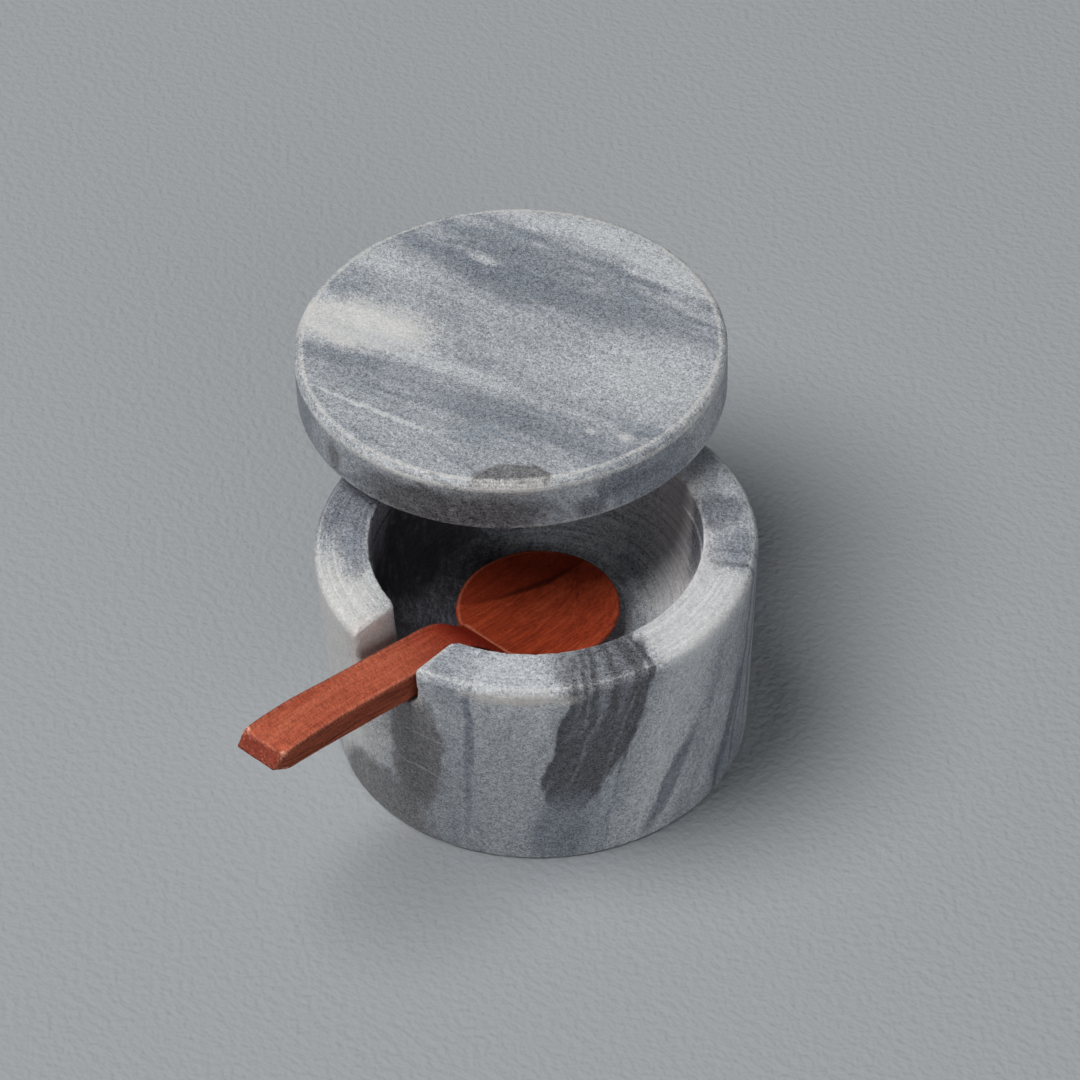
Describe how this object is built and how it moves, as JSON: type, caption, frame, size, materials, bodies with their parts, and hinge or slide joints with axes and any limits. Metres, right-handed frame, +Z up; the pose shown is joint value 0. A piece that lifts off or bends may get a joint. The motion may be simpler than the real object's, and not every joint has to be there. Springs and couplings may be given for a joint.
{
  "type": "salt cellar",
  "caption": "Round turned stone cup with a square-sided notch through its rim, a thick stone lid with a plug pushed back on the rim, and a carved wooden spoon with a cranked handle.",
  "frame": {"origin": "centre of the cup's flat underside", "axes": "+Z up along the cup's turning axis, -Y from that axis through the middle of the notch and along the spoon's handle, +X to the right when the notch faces the viewer"},
  "size_m": [0.1206, 0.1524, 0.0651],
  "materials": {
    "cup_stone": "honed",
    "lid_stone": "honed",
    "spoon_wood": "oiled"
  },
  "bodies": {
    "cup": {"body": "cup_stone"},
    "lid": {"lid": "lid_stone"},
    "spoon": {"spoon": "spoon_wood"}
  },
  "joints": [
    {"name": "lid_lift", "type": "slide", "parent": "cup", "child": "lid", "axis": [0, 0, 1], "range_m": [0, 0.08]},
    {"name": "spoon_draw", "type": "slide", "parent": "cup", "child": "spoon", "axis": [-0.0231, -0.6622, 0.749], "range_m": [0, 0.028]}
  ]
}
